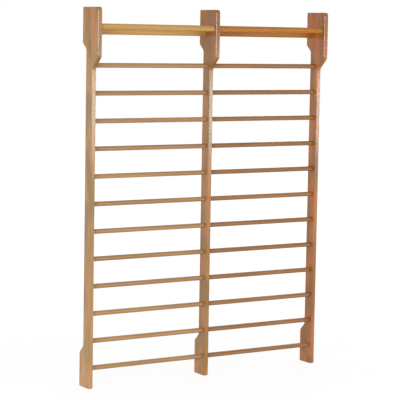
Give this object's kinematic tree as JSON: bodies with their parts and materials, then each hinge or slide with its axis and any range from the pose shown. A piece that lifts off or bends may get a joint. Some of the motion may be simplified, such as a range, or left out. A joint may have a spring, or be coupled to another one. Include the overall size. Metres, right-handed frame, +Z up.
{
  "type": "double wall bars",
  "caption": "Wooden double-section wall bars: profiled uprights that stand on the floor and against a wall, oval rungs and an offset pair of top bars in each section.",
  "frame": {"origin": "on the floor, under the plane of the rungs, at the middle of the middle upright", "axes": "+X along the rungs to the right as seen by the climber, +Y back towards the wall, +Z up"},
  "size_m": [1.82, 0.211, 2.5],
  "materials": {
    "upright_wood": "clear satin lacquer on planed pine, reddish brown",
    "rung_wood": "clear satin lacquer on turned beech",
    "screw_steel": "zinc plated"
  },
  "bodies": {
    "root": {"upright_left": "upright_wood", "upright_middle": "upright_wood", "upright_right": "upright_wood", "rung_left_01": "rung_wood", "rung_left_02": "rung_wood", "rung_left_03": "rung_wood", "rung_left_04": "rung_wood", "rung_left_05": "rung_wood", "rung_left_06": "rung_wood", "rung_left_07": "rung_wood", "rung_left_08": "rung_wood", "rung_left_09": "rung_wood", "rung_left_10": "rung_wood", "rung_left_11": "rung_wood", "rung_left_12": "rung_wood", "front_bar_left": "rung_wood", "rear_bar_left": "rung_wood", "rung_right_01": "rung_wood", "rung_right_02": "rung_wood", "rung_right_03": "rung_wood", "rung_right_04": "rung_wood", "rung_right_05": "rung_wood", "rung_right_06": "rung_wood", "rung_right_07": "rung_wood", "rung_right_08": "rung_wood", "rung_right_09": "rung_wood", "rung_right_10": "rung_wood", "rung_right_11": "rung_wood", "rung_right_12": "rung_wood", "front_bar_right": "rung_wood", "rear_bar_right": "rung_wood", "foot_screws": "screw_steel", "head_screws": "screw_steel"}
  },
  "joints": []
}
